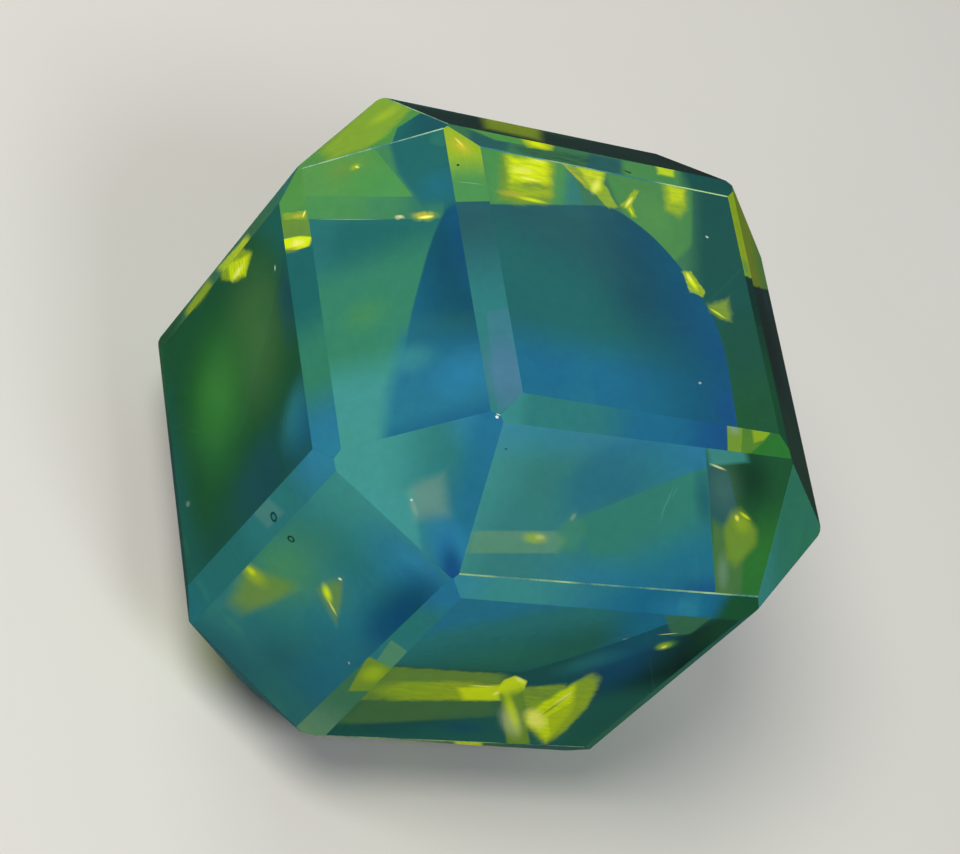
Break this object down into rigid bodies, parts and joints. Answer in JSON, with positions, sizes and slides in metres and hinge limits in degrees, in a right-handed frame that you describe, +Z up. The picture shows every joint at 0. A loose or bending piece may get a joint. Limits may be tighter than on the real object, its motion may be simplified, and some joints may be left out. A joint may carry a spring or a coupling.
{
  "type": "polished opal",
  "caption": "Opal cut as a cube with ground edges and corners: flat polished squares, wide bands, narrow strips and corner triangles on one solid stone that rests on any square.",
  "frame": {"origin": "middle of the outline seen from above, on the square facet that the stone rests on", "axes": "+Z up, out of the upper square facet; +X to the right and -Y to the front, each out of a square facet; the picture looks from the left front, from above"},
  "size_m": [0.028, 0.028, 0.028],
  "materials": {
    "opal": "hand polished, translucent"
  },
  "bodies": {
    "root": {"opal_cube": "opal"}
  },
  "joints": []
}
